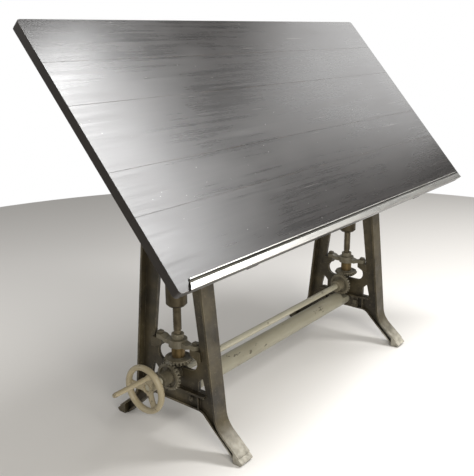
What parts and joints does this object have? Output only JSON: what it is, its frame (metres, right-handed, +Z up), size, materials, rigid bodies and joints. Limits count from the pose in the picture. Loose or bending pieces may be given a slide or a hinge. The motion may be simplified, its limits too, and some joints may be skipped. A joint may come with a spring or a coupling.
{
  "type": "drafting table",
  "caption": "Industrial drafting table: dark plank top on arched cast-iron end frames, raised by a handwheel through mitre gears and lift screws, and tilting.",
  "frame": {"origin": "centre of the bounding box at floor level", "axes": "+X along the board's long edge, away from the handwheel; -Y towards the low edge of the board, where the user stands; +Z up"},
  "size_m": [1.829, 0.6593, 1.3808],
  "materials": {
    "cast": "worn dark olive-brown enamel on cast iron, rubbed to grey on the edges",
    "shoe": "pale paint on the neck, dark enamel on the flange",
    "pipe": "old pale grey-green paint, chipped",
    "bronze": "dull bronze, oil-stained",
    "bearing_iron": "greasy grey-beige casting",
    "bolt_steel": "blackened forged steel",
    "screw_steel": "oiled turned steel",
    "shaft_paint": "pale paint over steel, worn",
    "tube_steel": "dark oiled steel tube",
    "head_iron": "dark casting",
    "board_top": "ebonised boards with a semi-gloss, scratched finish",
    "batten_wood": "dark stained hardwood",
    "strip_metal": "bright drawn metal strip, lightly scratched",
    "wheel_paint": "khaki-beige enamel on cast iron, polished by hands",
    "knob_wood": "small dark turned knob"
  },
  "bodies": {
    "frame": {"end_frame_left": "cast", "end_frame_right": "cast", "shaft_bush_left": "bronze", "shaft_bush_right": "bronze", "stretcher_shoe_left": "shoe", "stretcher_shoe_right": "shoe", "screw_bearing_left": "bearing_iron", "screw_bearing_right": "bearing_iron", "screw_bush_left": "bronze", "screw_bush_right": "bronze", "stretcher_pipe": "pipe", "shoe_bolts": "bolt_steel", "bearing_bolts": "bolt_steel"},
    "shaft": {"drive_shaft": "shaft_paint", "shaft_collars": "bearing_iron", "gear_screws": "bolt_steel", "handwheel": "wheel_paint", "grip_pin": "wheel_paint", "drive_gear_left": "bearing_iron", "drive_gear_right": "bearing_iron"},
    "grip": {"crank_grip": "wheel_paint"},
    "screw_left": {"lift_screw_left": "screw_steel", "screw_gear_left": "bearing_iron", "thrust_collar_left": "bearing_iron", "collar_pin_left": "bolt_steel"},
    "screw_right": {"lift_screw_right": "screw_steel", "screw_gear_right": "bearing_iron", "thrust_collar_right": "bearing_iron", "collar_pin_right": "bolt_steel"},
    "lift": {"lift_tube_left": "tube_steel", "lift_tube_right": "tube_steel", "lift_nut_left": "tube_steel", "lift_nut_right": "tube_steel", "tilt_head_left": "head_iron", "tilt_head_right": "head_iron", "lock_bolt_left": "bolt_steel", "lock_bolt_right": "bolt_steel", "head_screws": "bolt_steel"},
    "lock_left": {"lock_lever_left": "head_iron"},
    "lock_right": {"lock_lever_right": "head_iron"},
    "top": {"plank_1": "board_top", "plank_2": "board_top", "plank_3": "board_top", "plank_4": "board_top", "plank_5": "board_top", "batten_left": "batten_wood", "batten_right": "batten_wood", "tilt_bracket_left": "head_iron", "tilt_bracket_right": "head_iron", "tilt_pin_left": "bolt_steel", "tilt_pin_right": "bolt_steel", "bracket_screws": "bolt_steel", "edge_strip": "strip_metal", "under_knob": "knob_wood"}
  },
  "joints": [
    {"name": "shaft_spin", "type": "hinge", "parent": "frame", "child": "shaft", "pos_m": [0, 0.0415, 0.2407], "axis": [-1, 0, 0], "range_deg": [-4499, 9899]},
    {"name": "screw_left_spin", "type": "hinge", "parent": "frame", "child": "screw_left", "pos_m": [-0.557, 0.0415, 0.45], "axis": [0, 0, -1], "range_deg": [-4499, 9899]},
    {"name": "screw_right_spin", "type": "hinge", "parent": "frame", "child": "screw_right", "pos_m": [0.557, 0.0415, 0.45], "axis": [0, 0, -1], "range_deg": [-4499, 9899]},
    {"name": "top_lift", "type": "slide", "parent": "frame", "child": "lift", "axis": [0, 0, 1], "range_m": [-0.075, 0.165]},
    {"name": "top_tilt", "type": "hinge", "parent": "lift", "child": "top", "pos_m": [0, 0.0415, 0.9545], "axis": [1, 0, 0], "range_deg": [-48.7, 16.3]},
    {"name": "grip_spin", "type": "hinge", "parent": "shaft", "child": "grip", "pos_m": [-0.794, 0.01286, 0.29456], "axis": [-1, 0, 0], "continuous": true},
    {"name": "lock_left_turn", "type": "hinge", "parent": "lift", "child": "lock_left", "pos_m": [-0.6319, 0.0415, 0.8485], "axis": [1, 0, 0], "range_deg": [-60, 60]},
    {"name": "lock_right_turn", "type": "hinge", "parent": "lift", "child": "lock_right", "pos_m": [0.6319, 0.0415, 0.8485], "axis": [1, 0, 0], "range_deg": [-60, 60]}
  ],
  "couplings": [
    {"joint": "screw_left_spin", "follows": "shaft_spin", "ratio": 1},
    {"joint": "screw_right_spin", "follows": "shaft_spin", "ratio": 1},
    {"joint": "top_lift", "follows": "shaft_spin", "m_per_rad": 0.00095493}
  ]
}
